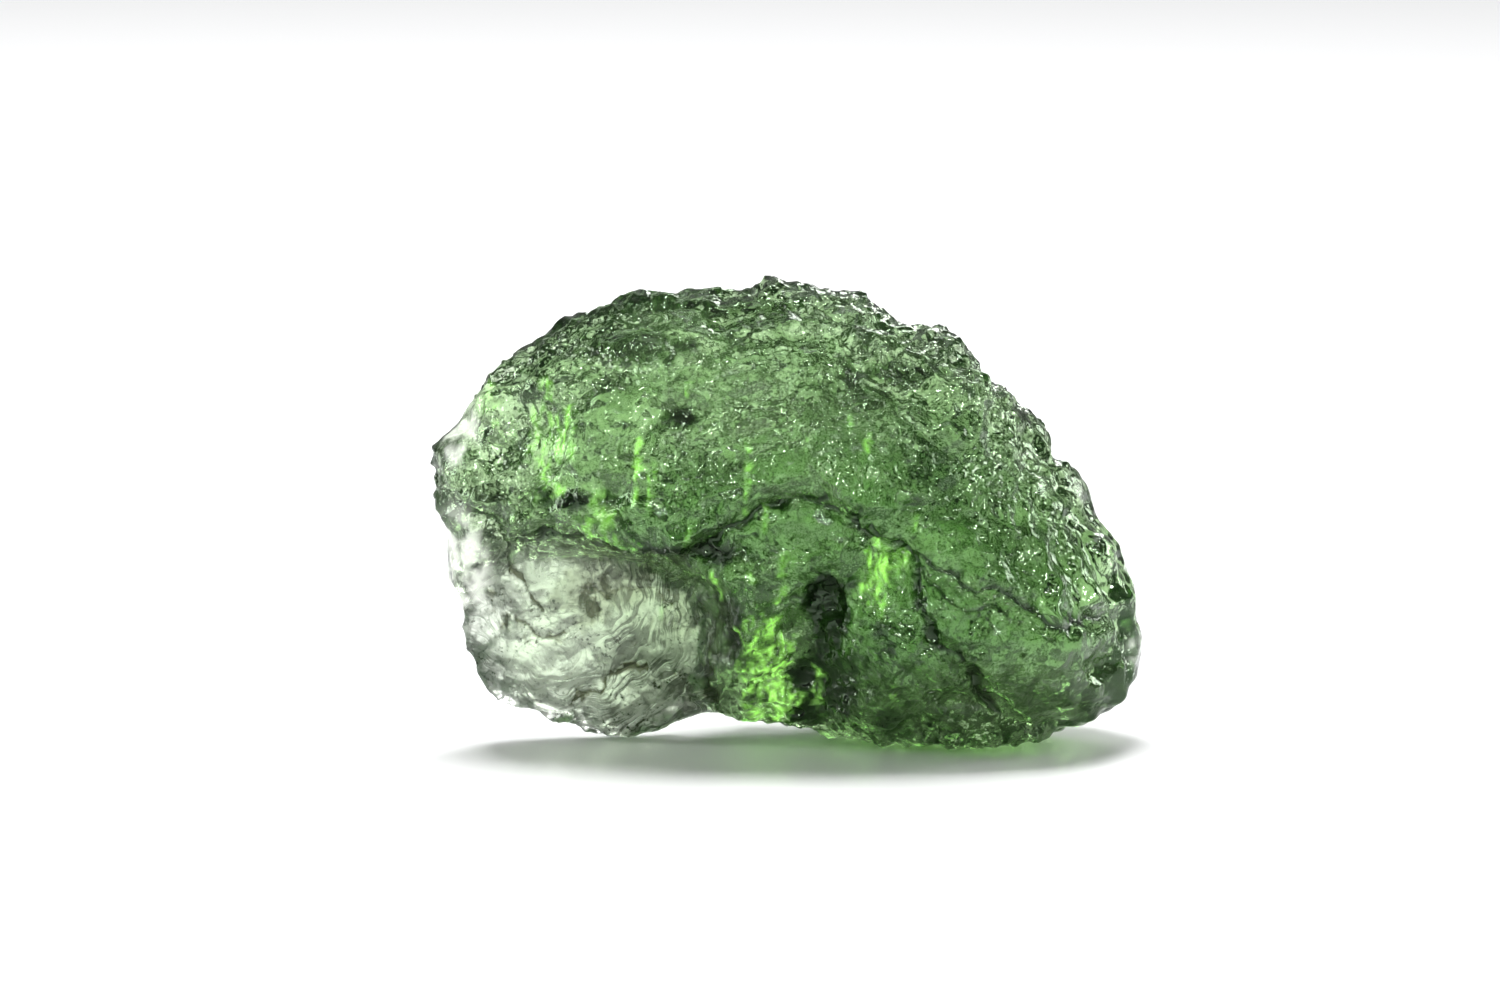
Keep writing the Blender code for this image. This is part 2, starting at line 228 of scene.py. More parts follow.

# Thin clear places at the left and right edges, where a burst of light is also painted: middle and
# half sizes
CLEAR_SPOTS = (
    ((-8.3, 4.4), (1.0, 2.0)),
    ((-8.4, 8.0), (0.8, 1.1)),
    ((7.7, 6.9), (0.55, 1.1)),
    ((8.7, 2.4), (0.25, 0.6)),
)

# Light caught inside the glass, seen on the broad face: middle, half sizes and strength
FLASHES = (
    ((-0.60, 2.3), (0.66, 2.1), 1.0),
    ((-0.60, 1.3), (0.75, 1.1), 1.0),
    ((2.2, 4.6), (0.46, 1.0), 1.0),
    ((0.58, 1.45), (0.18, 0.5), 0.7),
    ((-0.1, 5.0), (0.18, 0.4), 0.7),
    ((-5.9, 7.9), (0.6, 1.3), 0.9),
    ((-7.5, 8.8), (0.3, 0.5), 0.7),
    ((-4.6, 5.9), (0.6, 0.6), 0.7),
    ((-3.75, 7.3), (0.10, 0.9), 0.9),
    ((-3.35, 6.8), (0.08, 0.5), 0.9),
    ((-2.4, 5.7), (0.08, 0.4), 0.8),
    ((-2.5, 9.3), (0.14, 0.3), 0.7),
    ((-1.0, 7.2), (0.12, 0.8), 0.9),
    ((-0.5, 6.1), (0.14, 0.3), 0.8),
    ((0.4, 8.1), (0.06, 0.4), 0.8),
    ((1.5, 8.4), (0.16, 0.3), 0.7),
    ((2.0, 7.9), (0.14, 0.35), 0.8),
    ((-1.85, 4.4), (0.07, 0.5), 0.8),
    ((-3.2, 3.2), (0.08, 0.4), 0.6),
    ((3.1, 6.0), (0.08, 0.3), 0.7),
    ((2.65, 1.7), (0.08, 0.5), 0.6),
)
FLASH_SLOPE = 86

# How dark each kind of mark is, 1 as the hole: painted shade in pits, streak steps, hairlines and on
# the up-facing crown, and darker tone in the blotches
CAVITY_SHADE = 0.6
STREAK_SHADE = 0.7
LINE_SHADE = 0.5
BLOTCH_DARK = 0.2
CROWN_SHADE = 0.6

ROUGHNESS = 0.10
LOBE_ROUGHNESS = 0.32
CLEAR_ROUGHNESS = 0.2

# Gloss of the etched glass: weak, and a little green
SPECULAR_LEVEL = 0.12
SPECULAR_TINT = (0.75, 1.0, 0.7, 1.0)
BUMP_HEIGHT = 0.05 * MM
BUMP_STRENGTH = 0.5

DARK_GREEN = (0.0003, 0.0014, 0.0001)
DARK_BROWN = (0.008, 0.007, 0.003)
DARK_FALL = 3.4  # how quickly half dark places turn clear
FLASH_DEEP = (0.06, 0.22, 0.01)
FLASH_BRIGHT = (0.40, 0.96, 0.15)
# Colour of the painted white glints
PAINTED_GLINT_WHITE = (0.75, 0.82, 0.72)
# Colour of the painted burst of light at the thin clear edges
CLEAR_GLOW = (0.78, 0.80, 0.74)

# Lines along which white glints are painted: half width and the line
PAINTED_GLINT_LINES = (
    (0.16, ((4.4, 9.3), (5.2, 8.4), (5.9, 7.4), (6.6, 5.9), (7.6, 3.6))),
    (0.22, ((7.0, 7.9), (7.3, 6.9), (7.8, 5.8))),
    (0.12, ((7.9, 5.4), (8.3, 4.2))),
    (0.16, ((8.2, 2.9), (8.6, 1.6))),
    (0.20, ((-7.4, 7.3), (-6.8, 6.9), (-6.0, 7.0))),
    (0.28, ((4.3, 7.2), (5.3, 7.3))),
    (0.15, ((-6.9, 9.2), (-5.4, 10.2), (-3.6, 9.9))),
)

# Streaked zones of the broad face: middle, half sizes, slope in degrees, gap and height
STREAKS = (
    ((-5.9, 7.9), (0.8, 1.4), 97, 0.24, 0.05),
    ((-3.4, 6.8), (2.0, 1.8), 84, 0.42, 0.035),
    ((-3.6, 4.0), (1.6, 1.2), 68, 0.30, 0.035),
    ((-0.6, 2.6), (1.0, 1.9), 88, 0.34, 0.05),
    ((2.3, 4.6), (0.7, 1.0), 100, 0.30, 0.05),
    ((-5.5, 10.0), (2.6, 1.0), 36, 0.36, 0.04),
    ((-0.5, 10.2), (2.8, 1.2), 16, 0.40, 0.04),
    ((3.6, 9.0), (2.4, 1.6), -34, 0.36, 0.045),
    ((6.4, 5.6), (1.8, 2.6), -52, 0.36, 0.045),
    ((3.9, 2.6), (2.6, 1.6), -30, 0.42, 0.04),
    ((1.0, 7.6), (2.4, 1.0), 66, 0.45, 0.03),
)


class StoneSettings(bpy.types.PropertyGroup):
    """What a user would change about the stone."""

    spacing: FloatProperty(
        name="Point spacing",
        description="How far apart the points of the stone's skin are",
        default=0.062 * MM,
        unit="LENGTH",
        precision=6,
    )
    relief: FloatProperty(
        name="Relief",
        description="Height of the fine etched relief, 1 as on the real stone",
        default=1.0,
        min=0.0,
        max=2.0,
    )
    triangles: IntProperty(
        name="Triangles",
        description="Most triangles the skin may have",
        default=196000,
        min=1000,
    )
    pits: IntProperty(
        name="Pits",
        description="Number of small etched pits",
        default=700,
        min=0,
    )
    glass_colour: FloatVectorProperty(
        name="Glass colour",
        description="Colour of white light that has passed the colour depth of glass",
        subtype="COLOR",
        size=3,
        default=(0.27, 0.44, 0.195),
        min=0.01,
        max=1.0,
    )
    colour_depth: FloatProperty(
        name="Colour depth",
        description="Thickness of glass that gives the glass colour",
        default=4.2 * MM,
        unit="LENGTH",
        precision=4,
    )
    ior: FloatProperty(
        name="IOR",
        description="Refractive index of the glass",
        default=1.49,
        min=1.0,
        max=2.0,
    )


class StageSettings(bpy.types.PropertyGroup):
    """What a user would change about the table and the light."""

    floor_size: FloatProperty(
        name="Table size",
        description="Side of the white table top",
        default=1.4,
        unit="LENGTH",
    )
    floor_colour: FloatVectorProperty(
        name="Table colour",
        description="Colour of the table top",
        subtype="COLOR",
        size=3,
        default=(0.93, 0.935, 0.94),
        min=0.0,
        max=1.0,
    )


class Value:
    """A shader socket in arithmetic: an operation on it adds a Math node."""

    def __init__(self, nodes, socket):
        self.nodes = nodes
        self.socket = socket

    def math(self, operation, *others):
        """What a Math node makes of this value and the others."""
        values = dict(enumerate((self, *others)))
        return self.nodes.add("ShaderNodeMath", {"operation": operation}, values)

    def __add__(self, other):
        return self.math("ADD", other)

    def __sub__(self, other):
        return self.math("SUBTRACT", other)

    def __rsub__(self, other):
        return self.nodes.add("ShaderNodeMath", {"operation": "SUBTRACT"}, {0: other, 1: self})

    def __mul__(self, other):
        return self.math("MULTIPLY", other)

    def __abs__(self):
        return self.math("ABSOLUTE")

    def clamped(self):
        """The value, kept between 0 and 1."""
        return self.nodes.add("ShaderNodeClamp", None, {0: self})

    __radd__ = __add__
    __rmul__ = __mul__


class Nodes:
    """Adds and joins the nodes of one tree."""

    def __init__(self, tree):
        self.tree = tree

    def add(self, kind, settings=None, values=None, output=0):
        """A new node with its settings, then its sockets' values or links, as one of its outputs."""
        node = self.tree.nodes.new(kind)
        for name, setting in (settings or {}).items():
            setattr(node, name, setting)
        self.fill(node, values or {})
        return Value(self, node.outputs[output])

    def fill(self, node, values):
        """Gives a node's sockets their values or links."""
        for name, value in values.items():
            if isinstance(value, Value):
                self.tree.links.new(value.socket, node.inputs[name])
            else:
                node.inputs[name].default_value = value

    def mix(self, share, first, second):
        """The first colour where share is 0, and the second where it is 1."""
        settings = {"data_type": "RGBA"}
        return self.add("ShaderNodeMix", settings, {0: share, 6: first, 7: second}, output=2)

    def place(self, output="Object"):
        """Each point's place."""
        return self.add("ShaderNodeTexCoord", output=output)

    def part(self, place, axis):
        """A place's distance along one axis."""
        return self.add("ShaderNodeSeparateXYZ", None, {0: place}, output=axis)

    def stored(self, name, output="Fac"):
        """The number, or the Color, that the skin's points hold under a name."""
        return self.add("ShaderNodeAttribute", {"attribute_name": name}, output=output)

    def clouds(self, place, length, detail=2.0):
        """Cloudy noise about 0.5, whose largest clouds are this long."""
        values = {"Vector": place, "Scale": 1 / length, "Detail": detail}
        return self.add("ShaderNodeTexNoise", None, values)


def smooth_step(low, high, value):
    """0 below low, 1 above high, and a smooth climb between them."""
    t = np.clip((value - low) / (high - low), 0.0, 1.0)
    return t * t * (3.0 - 2.0 * t)


def fractal(points, length, octaves, falloff=0.8):
    """Cloudy noise about 0, whose largest clouds are this long."""
    return np.array(
        [noise.fractal(Vector(point), falloff, 2.1, octaves) for point in points / length]
    )


def ridges(points, length, octaves):
    """Noise with sharp crests, about 0."""
    field = np.array(
        [
            noise.ridged_multi_fractal(Vector(point), 0.9, 2.1, octaves, 0.9, 2.0)
            for point in points / length
        ]
    )
    return (field - field.mean()) / field.std()


def stretched(points, slope, length, width):
    """Points squeezed so that noise read at them is drawn out along a slope on the broad face."""
    slope = math.radians(slope)
    along = np.array((math.cos(slope), 0.0, math.sin(slope)))
    return points / width + np.outer(points @ along * (1 / length - 1 / width), along)


def distance_to_line(x, z, line):
    """Each point's distance to a line of straight runs on the broad face."""
    nearest = np.full_like(x, np.inf)
    points = np.column_stack((x, z))
    for start, end in zip(line, line[1:]):
        start, run = np.array(start), np.subtract(end, start)
        t = np.clip((points - start) @ run / (run @ run), 0.0, 1.0)
        gap = points - start - t[:, None] * run
        nearest = np.minimum(nearest, np.hypot(gap[:, 0], gap[:, 1]))
    return nearest


def spot_reach(points, middle, half_sizes, shift=0.0):
    """Each point's distance to the middle of a spot on the broad face, 1 at the spot's edge."""
    across = (points[:, 0] - middle[0] + shift) / half_sizes[0]
    up = (points[:, 2] - middle[1]) / half_sizes[1]
    return np.hypot(across, up)


def lobe_share(points):
    """1 on the thin lobe, falling to 0 across its edge."""
    u = np.abs((points[:, 0] - LOBE_MIDDLE[0]) / LOBE_HALF[0])
    v = np.abs((points[:, 2] - LOBE_MIDDLE[1]) / LOBE_HALF[1])
    reach = (u**LOBE_SQUARENESS + v**LOBE_SQUARENESS) ** (1 / LOBE_SQUARENESS)
    return 1.0 - smooth_step(1.0 - LOBE_EDGE, 1.0, reach)


def right_share(points):
    """1 at the rounded right end, and 0 elsewhere."""
    return smooth_step(5.0, 7.5, points[:, 0])


def near_share(points):
    """1 on the half of the stone that the broad face is on, and 0 on the other half."""
    return smooth_step(-0.3, 0.3, -points[:, 1])


def clear_share(points):
    """1 in the thin clear places at the edges, and 0 elsewhere."""
    share = np.zeros(len(points))
    for middle, half_sizes in CLEAR_SPOTS:
        reach = spot_reach(points, middle, half_sizes)
        share = np.maximum(share, 1.0 - smooth_step(0.5, 1.0, reach))
    return share


def spot_darkness(points, spots, wander):
    """How dark spots of the broad face are, with ragged edges."""
    dark = np.zeros(len(points))
    ragged = 1.0 + 0.9 * wander + 0.5 * fractal(points + 70.0, 0.45, 3)
    for middle, half_sizes, darkness in spots:
        reach = spot_reach(points, middle, half_sizes) * ragged
        dark = np.maximum(dark, darkness * (1.0 - smooth_step(0.4, 1.1, reach)))
    return dark * near_share(points)


def calm_share(points):
    """How far the copy is smoothed: on the lobe, at the clear edges, in the hole and at the right."""
    hole = HOLE_CALM * spot_darkness(points, HOLE_SPOTS[:1], 0.0)
    right = RIGHT_CALM * right_share(points)
    return np.maximum.reduce((lobe_share(points), clear_share(points), hole, right))


def read_points(mesh, what="co"):
    """The mesh's points, or its point normals where what is "vector", one to a row."""
    source = mesh.vertices if what == "co" else mesh.vertex_normals
    values = np.empty(len(mesh.vertices) * 3)
    source.foreach_get(what, values)
    return values.reshape(-1, 3)


def write_points(mesh, points):
    """Moves the mesh's points to these places."""
    mesh.vertices.foreach_set("co", points.ravel())
    mesh.update()


def store_value(mesh, name, values):
    """Keeps a number at each of the mesh's points."""
    mesh.attributes.new(name, "FLOAT", "POINT").data.foreach_set("value", values)


def store_colour(mesh, name, colour):
    """Keeps a colour at each of the mesh's points."""
    values = np.column_stack((colour, np.ones(len(colour))))
    mesh.attributes.new(name, "FLOAT_COLOR", "POINT").data.foreach_set("color", values.ravel())


def apply_modifiers(obj):
    """Makes what the object's modifiers show its mesh."""
    graph = bpy.context.evaluated_depsgraph_get()
    mesh = bpy.data.meshes.new_from_object(obj.evaluated_get(graph))
    obj.modifiers.clear()
    obj.data = mesh


def fine_copy(node, name, spacing):
    """A new object with the node's shape in small even faces, smoothed most in its calm places."""
    obj = bpy.data.objects.new(name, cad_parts[node].data.copy())
    bpy.context.scene.collection.objects.link(obj)
    remesh = obj.modifiers.new("even_faces", "REMESH")
    remesh.mode = "VOXEL"
    remesh.voxel_size = spacing
    apply_modifiers(obj)
    smooth = obj.modifiers.new("soften", "SMOOTH")
    smooth.iterations = EVEN_ROUNDS
    calm = calm_share(read_points(obj.data) / MM)
    group = obj.vertex_groups.new(name="calm_places")
    for index in np.flatnonzero(calm > 0.01):
        group.add([int(index)], float(calm[index]), "REPLACE")
    calmer = obj.modifiers.new("calm", "SMOOTH")
    calmer.vertex_group = group.name
    calmer.iterations = CALM_ROUNDS
    apply_modifiers(obj)
    obj.data.materials.clear()
    return obj


def thin_out(obj, triangles):
    """Leaves the object this many triangles, most of them where it bends most."""
    obj.data.calc_loop_triangles()
    thin = obj.modifiers.new("fewer_triangles", "DECIMATE")
    thin.ratio = min(1.0, triangles / len(obj.data.loop_triangles))
    apply_modifiers(obj)
    obj.data.shade_smooth()


class Skin:
    """The fine mesh's points in millimetres, and how far each belongs to the stone's zones."""

    def __init__(self, mesh):
        self.points = read_points(mesh) / MM
        self.normals = read_points(mesh, "vector")
        self.x = self.points[:, 0]
        self.z = self.points[:, 2]
        self.front = smooth_step(0.1, 0.5, -self.normals[:, 1])
        self.near = near_share(self.points)
        self.lobe = lobe_share(self.points)
        self.lobe_right = smooth_step(-5.6, -3.2, self.x)
        self.right = right_share(self.points)
        self.clear = clear_share(self.points)
        self.wander = fractal(self.points, 2.4, 3, 0.9)

    def spots(self, spots):
        """How dark these spots of the broad face are."""
        return spot_darkness(self.points, spots, self.wander)


def steps(phase):
    """A row of steps, each a slow rise and a sharp drop, from -0.5 to 0.5."""
    part = phase % 1.0
    return np.where(part < 0.75, part / 0.75, (1.0 - part) / 0.25) - 0.5


def step_line(phase, place):
    """1 where each step is at this place in its phase, and 0 off that line."""
    gap = np.abs((phase - place + 0.1) % 1.0 - 0.1)
    return 1.0 - smooth_step(0.05, 0.2, gap)


def streak_marks(skin):
    """Height of rows of sharp steps that follow the flow of the glass, painted shade at each step's
    foot, and where white glints are painted beside it.
    """
    points = skin.points
    height = np.zeros(len(points))
    dark = np.zeros(len(points))
    painted_glints = np.zeros(len(points))
    ragged = 0.9 * skin.wander + 0.5 * fractal(points + 50.0, 0.7, 2)
    for middle, half_sizes, slope, gap, tall in STREAKS:
        turn = math.radians(slope)
        across = skin.x * math.sin(turn) - skin.z * math.cos(turn)
        share = 1.0 - smooth_step(0.5, 1.6, spot_reach(points, middle, half_sizes) ** 2)
        broken = fractal(stretched(points + 60.0, slope, 1.6, 0.5), 1.0, 2)
        share *= smooth_step(-0.15, 0.3, broken) * skin.front
        phase = across / gap + ragged
        height += tall * share * steps(phase)
        dark = np.maximum(dark, 0.8 * share * step_line(phase, 0.0))
        painted_glints = np.maximum(painted_glints, share * step_line(phase, -0.15))
    return height, dark, painted_glints


def fold_marks(skin):
    """Depth of the sharp folds, and the shade painted into them and into the fine lines beside them.
    """
    depth = np.zeros(len(skin.points))
    dark = np.zeros(len(skin.points))
    shift = FOLD_WANDER * skin.wander
    ragged = fractal(skin.points + 80.0, 0.5, 3)
    jolt = 0.16 * fractal(skin.points + 85.0, 0.6, 3)
    for half_width, deep, darkness, line in FOLDS:
        reach = distance_to_line(skin.x + shift + jolt, skin.z + shift - jolt, line) / half_width
        reach *= 1.0 + 0.9 * ragged
        depth += deep * np.exp(-(reach**2))
        echo = np.cos(math.pi * (reach / ECHO_GAP + 0.8 * ragged)) ** 8 * np.exp(-reach / ECHO_REACH)
        dark = np.maximum(dark, darkness * np.maximum(np.exp(-((reach / 1.3) ** 4)), 0.95 * echo))
    return depth * skin.near, dark * skin.near


def hairlines(points, slope, width=0.07, gaps=0.0):
    """Fine broken lines along a slope, 1 on a line and 0 off it."""
    field = fractal(stretched(points + 25.0, slope, 1.1, 0.4), 1.0, 3)
    broken = smooth_step(gaps, gaps + 0.4, fractal(points + 35.0, 0.9, 2))
    return np.exp(-((field / width) ** 2)) * broken


def crinkle_marks(skin, hole):
    """The sharper lines of the crinkled places, two sets that cross, cut in and painted with shade."""
    lines = np.maximum(
        hairlines(skin.points, RIGHT_SLOPE, 0.16, -0.5),
        hairlines(skin.points + 8.0, STEEP_SLOPE, 0.16, -0.5),
    )
    return lines * skin.spots(CRINKLED_SPOTS) * (1 - hole)


def ripples(skin):
    """Height of the curved ripples on the thin lobe, round a point above it."""
    ring = np.hypot(skin.x - RIPPLE_MIDDLE[0], skin.z - RIPPLE_MIDDLE[1]) / RIPPLE_GAP
    patches = smooth_step(-0.3, 0.3, fractal(skin.points + 40.0, 1.3, 2))
    return RIPPLE_HEIGHT * steps(1.2 * skin.wander - ring) * patches * skin.lobe * skin.front


def pit_depth(skin, count):
    """Depth of small etched pits, most of them on the rim and back."""
    points, normals = skin.points, skin.normals
    rng = np.random.default_rng(SEED)
    chance = 1 - 0.6 * smooth_step(0.2, 0.9, -normals[:, 1])
    middles = rng.choice(len(points), count, replace=False, p=chance / chance.sum())
    depth = np.zeros(len(points))
    for middle in middles:
        half_width = rng.uniform(*PIT_HALF_WIDTHS)
        length = half_width * rng.uniform(*PIT_LENGTHS)
        across = np.cross(normals[middle], rng.normal(size=3))
        across /= np.linalg.norm(across)
        offset = points - points[middle]
        close = np.flatnonzero((np.abs(offset) < length).all(axis=1))
        offset = offset[close]
        along_share = offset @ np.cross(normals[middle], across) / length
        across_share = offset @ across / half_width
        sunk_share = offset @ normals[middle] / half_width
        reach = along_share**2 + across_share**2 + sunk_share**2
        cup = PIT_CUP * half_width * np.clip(1.0 - reach, 0.0, None)
        depth[close] = np.maximum(depth[close], cup)
    return depth


def etched_height(skin, streaks, pits):
    """Height of the etched relief, whose noises are each read at a place of their own."""
    points, lobe, right = skin.points, skin.lobe, skin.right
    rough = (0.8 - 0.4 * skin.front) * (1 - 0.45 * lobe) * (1 - 0.65 * right)
    flow = ridges(stretched(points + 5.0, 20, 2.0, 1.0), 1.0, 2)
    height = RIDGE_HEIGHT * rough * ridges(points + 20.0, 0.8, 3)
    height += FLOW_HEIGHT * skin.front * flow * (1 - lobe)
    height += GRAIN_HEIGHT * ridges(points + 30.0, 0.3, 2) * (1 - 0.8 * lobe) * (1 - 0.6 * right)
    height += LUMP_HEIGHT * right * fractal(points + 12.0, 1.1, 2)
    height += STREAK_GAIN * streaks * (1 - 0.6 * lobe) * (1 - 0.65 * right)
    height += ripples(skin)
    return height - PIT_GAIN * rough * pit_depth(skin, pits)


def within_box(points):
    """The points, drawn in towards the middle of the solid's box where they reach past it."""
    low, high = (np.array(corner) / MM for corner in cad_box)
    middle = (low + high) / 2
    spread = np.maximum(points.max(axis=0) - middle, middle - points.min(axis=0))
    return np.clip(middle + (points - middle) * np.minimum(1.0, (high - middle) / spread), low, high)


def blotches(skin):
    """Faint cloudy dark places, none of them on the lobe."""
    return smooth_step(0.0, 0.6, fractal(skin.points + 15.0, 0.7, 3)) * (1 - skin.lobe)


def flashes(skin):
    """How brightly light caught in the glass shows, in upright streaks."""
    points = skin.points
    light = np.zeros(len(points))
    ragged = 0.9 * fractal(points + 90.0, 0.5, 3)
    for middle, half_sizes, strength in FLASHES:
        reach = spot_reach(points, middle, half_sizes, 0.2 * skin.wander)
        light = np.maximum(light, strength * (1.0 - smooth_step(0.5, 1.1, reach + ragged)))
    streaks = fractal(stretched(points + 10.0, FLASH_SLOPE, 0.9, 0.13), 1.0, 3)
    fibres = fractal(stretched(points + 14.0, FLASH_SLOPE, 0.5, 0.09), 1.0, 2)
    light *= smooth_step(-0.6, 0.4, streaks) * (0.5 + 0.5 * smooth_step(-0.5, 0.1, fibres))
    return light * skin.front


def painted_glint_lines(skin):
    """1 on the lines where white glints are painted, falling to 0 beside them."""
    share = np.zeros(len(skin.points))
    shift = 0.4 * skin.wander
    for half_width, line in PAINTED_GLINT_LINES:
        reach = distance_to_line(skin.x + shift, skin.z - shift, line) / half_width
        share = np.maximum(share, 1.0 - smooth_step(0.5, 1.5, reach))
    return share * skin.near


def milky_painted_glow(points):
    """Glow painted where the glass looks milky."""
    glow = np.zeros((len(points), 3))
    for middle, half_sizes, colour in MILKY_GLOW_SPOTS:
        reach = spot_reach(points, middle, half_sizes)
        glow += np.outer(1.0 - smooth_step(0.3, 1.2, reach), colour)
    return glow


def tint_and_shade_colour(skin, dark, light):
    """The glass's tint at each point with the painted shade: white where it is clear, and dark in its
    folds and holes.
    """
    dark_colour = np.array(DARK_GREEN) + np.outer(skin.lobe, np.subtract(DARK_BROWN, DARK_GREEN))
    return dark_colour ** ((dark * (1.0 - light)) ** DARK_FALL)[:, None]


def glow_colour(skin, points, dark, light):
    """The light painted into each point as glow: flashes, milky places and the burst at clear edges.
    """
    glow = np.outer(light, FLASH_DEEP) + np.outer(light**2, np.subtract(FLASH_BRIGHT, FLASH_DEEP))
    glow += milky_painted_glow(points) * (skin.front * (1 - 0.8 * dark))[:, None]
    burst = skin.clear * smooth_step(-0.3, 0.3, fractal(points + 75.0, 0.6, 3))
    return glow + np.outer(burst * skin.near, CLEAR_GLOW)


def frost_amount(skin):
    """The roughness at each point."""
    frost = ROUGHNESS + (LOBE_ROUGHNESS - ROUGHNESS) * skin.lobe
    return np.maximum(frost, CLEAR_ROUGHNESS * skin.clear)


def grow_skin(mesh, relief, pits):
    """Dents the fine mesh, keeps it within the solid's box and stores what is only colour."""
    skin = Skin(mesh)
    folds, fold_shade = fold_marks(skin)
    streaks, streak_shade, streak_glints = streak_marks(skin)
    hole = skin.spots(HOLE_SPOTS)
    lines = np.where(
        skin.x < 0, hairlines(skin.points, LEFT_SLOPE), hairlines(skin.points, RIGHT_SLOPE)
    )
    crinkles = crinkle_marks(skin, hole)
    height = etched_height(skin, streaks, pits)
    cavities = smooth_step(0.06, 0.16, -height)
    height -= HOLE_JAGS * hole * np.abs(fractal(skin.points + 55.0, 0.5, 3))
    height -= folds + LINE_DEPTH * lines + CRINKLE_DEPTH * crinkles
    height *= relief * (1 - CLEAR_CALM * skin.clear)
    points = within_box(skin.points + skin.normals * height[:, None])
    write_points(mesh, points * MM)
    # Painted shade in the dark spots and hole, folds, crinkles, pits, streak steps, hairlines and on
    # the up-facing crown; the blotches are darker tone, and the lobe is a little darker, more so to
    # its right
    darks = (
        skin.spots(SHADE_SPOTS),
        fold_shade,
        crinkles,
        CAVITY_SHADE * cavities,
        STREAK_SHADE * streak_shade,
        LINE_SHADE * lines,
        BLOTCH_DARK * blotches(skin),
        CROWN_SHADE * smooth_step(0.15, 0.7, skin.normals[:, 2]),
        (0.1 + 0.2 * skin.lobe_right) * skin.lobe,
    )
    dark = np.maximum.reduce(darks) * (1 - 0.9 * skin.clear)
    light = flashes(skin)
    arcs = np.maximum(skin.lobe * (0.65 + 1.35 * skin.lobe_right), 0.7 * skin.clear)
    store_value(mesh, "frost", frost_amount(skin))
    store_value(mesh, "painted_glints", np.maximum(0.5 * streak_glints, painted_glint_lines(skin)))
    store_value(mesh, "crisp", 1 - 0.6 * skin.right)
    store_value(mesh, "arcs", arcs * skin.front)
    store_colour(mesh, "tint_and_shade", tint_and_shade_colour(skin, dark, light))
    store_colour(mesh, "glow", glow_colour(skin, points, dark, light))
    mesh.shade_smooth()


def crossing_lines(field, sharpness):
    """1 on the lines where a noise crosses its middle, and 0 off them."""
    return (1.0 - abs(field - 0.5) * sharpness).clamped()


def above(field, start, sharpness):
    """0 where a noise is below its start, climbing to 1 above it."""
    return ((field - start) * sharpness).clamped()


def arc_lines(nodes, place):
    """Fine broken lines round a point near the top of the thin lobe, 1 on a line and 0 off it."""
    x = nodes.part(place, "X") * (1 / MM) - ARC_MIDDLE[0]
    z = nodes.part(place, "Z") * (1 / MM) - ARC_MIDDLE[1]
    radius = (x * x + z * z).math("SQRT") + nodes.clouds(place, 1.4 * MM) * 1.6
    angle = z.math("ARCTAN2", x)
    bent = nodes.add("ShaderNodeCombineXYZ", None, {0: radius, 1: angle * 0.5})
    lines = crossing_lines(nodes.clouds(bent, ARC_GAP, 4.0), 11.0)
    return lines * above(nodes.clouds(place, 0.9 * MM), 0.36, 6.0)


def glass_material(settings):
    """See-through green glass with fine cracks, dark specks, arcs of painted shade in the lobe's fine
    grooves, and painted white glints.
    """
    material = bpy.data.materials.new("moldavite_glass")
    material.use_nodes = True
    nodes = Nodes(material.node_tree)
    place = nodes.place()
    crisp = nodes.stored("crisp")
    cracks = crossing_lines(nodes.clouds(place, 0.4 * MM, 5.0), 14.0)
    cracks = cracks * above(nodes.clouds(place, 1.5 * MM), 0.40, 5.0)
    specks = nodes.clouds(place, 0.10 * MM)
    marks = (cracks * 0.85 + ((0.45 - specks) * 8.0).clamped() * 0.55) * crisp
    arcs = (nodes.stored("arcs") * arc_lines(nodes, place)).clamped()
    tint_and_shade = nodes.mix(marks.clamped(), nodes.stored("tint_and_shade", "Color"), (*DARK_GREEN, 1.0))
    # Painted shade, dark brown, in the fine grooves of the lobe's arcs
    tint_and_shade = nodes.mix(arcs * 0.9, tint_and_shade, (*DARK_BROWN, 1.0))
    # Painted white glints, added to the glow where bright specks meet the glint lines
    painted_sparkle = above(specks, 0.58, 10.0) * nodes.stored("painted_glints")
    glow = nodes.mix(painted_sparkle, nodes.stored("glow", "Color"), (*PAINTED_GLINT_WHITE, 1.0))
    height = nodes.clouds(place, 0.15 * MM) * crisp - arcs
    values = {"Height": height, "Distance": BUMP_HEIGHT, "Strength": BUMP_STRENGTH}
    bump = nodes.add("ShaderNodeBump", None, values)
    nodes.fill(
        material.node_tree.nodes["Principled BSDF"],
        {
            "Base Color": tint_and_shade,
            "Roughness": nodes.stored("frost"),
            "Normal": bump,
            "Emission Color": glow,
            "Emission Strength": 1.0,
            "Specular IOR Level": SPECULAR_LEVEL,
            "Specular Tint": SPECULAR_TINT,
            "IOR": settings.ior,
            "Transmission Weight": 1.0,
        },
    )
    volume = nodes.add("ShaderNodeVolumeAbsorption", None, absorption(settings))
    nodes.fill(material.node_tree.nodes["Material Output"], {"Volume": volume})
    return material


def absorption(settings):
    """The density that absorbs most, and the share of each colour that it leaves."""
    loss = [-math.log(share) / settings.colour_depth for share in settings.glass_colour]
    density = 1.2 * max(loss)
    colour = [1 - part / density for part in loss]
    return {"Color": (*colour, 1.0), "Density": density}


